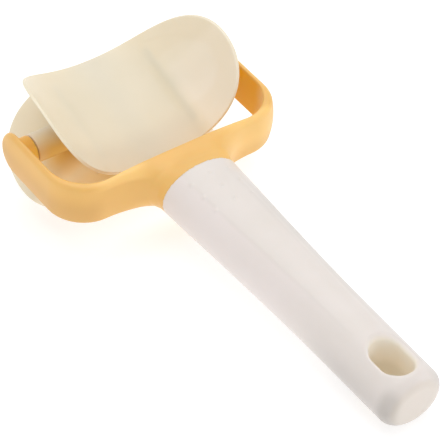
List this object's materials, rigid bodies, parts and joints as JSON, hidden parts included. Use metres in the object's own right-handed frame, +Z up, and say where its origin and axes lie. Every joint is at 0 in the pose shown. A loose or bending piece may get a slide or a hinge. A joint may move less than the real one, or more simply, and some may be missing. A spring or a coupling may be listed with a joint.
{
  "type": "rolling cookie cutter",
  "caption": "Rolling round cookie and dough cutter: wrapped circular cutting edges on a free-turning roller in a U-shaped yoke, with a tapered handle and hang hole.",
  "frame": {"origin": "on the table under the middle of the tool, which lies on its roller and on the end of its handle", "axes": "+X along the roller axis, +Y from the handle's end to the roller, +Z up"},
  "size_m": [0.1016, 0.2066, 0.0521],
  "materials": {
    "handle_plastic": "off-white, fine satin moulded surface",
    "yoke_plastic": "pastel yellow-orange, satin moulded surface",
    "roller_plastic": "cream, slightly translucent, smooth satin"
  },
  "bodies": {
    "holder": {"handle_grip": "handle_plastic", "yoke_frame": "yoke_plastic"},
    "roller": {"cutter_shell_upper": "roller_plastic", "cutter_shell_lower": "roller_plastic", "hub_left": "roller_plastic", "hub_right": "roller_plastic"}
  },
  "joints": [
    {"name": "roller_spin", "type": "hinge", "parent": "holder", "child": "roller", "pos_m": [0, 0.07732, 0.026], "axis": [1, 0, 0], "continuous": true}
  ]
}
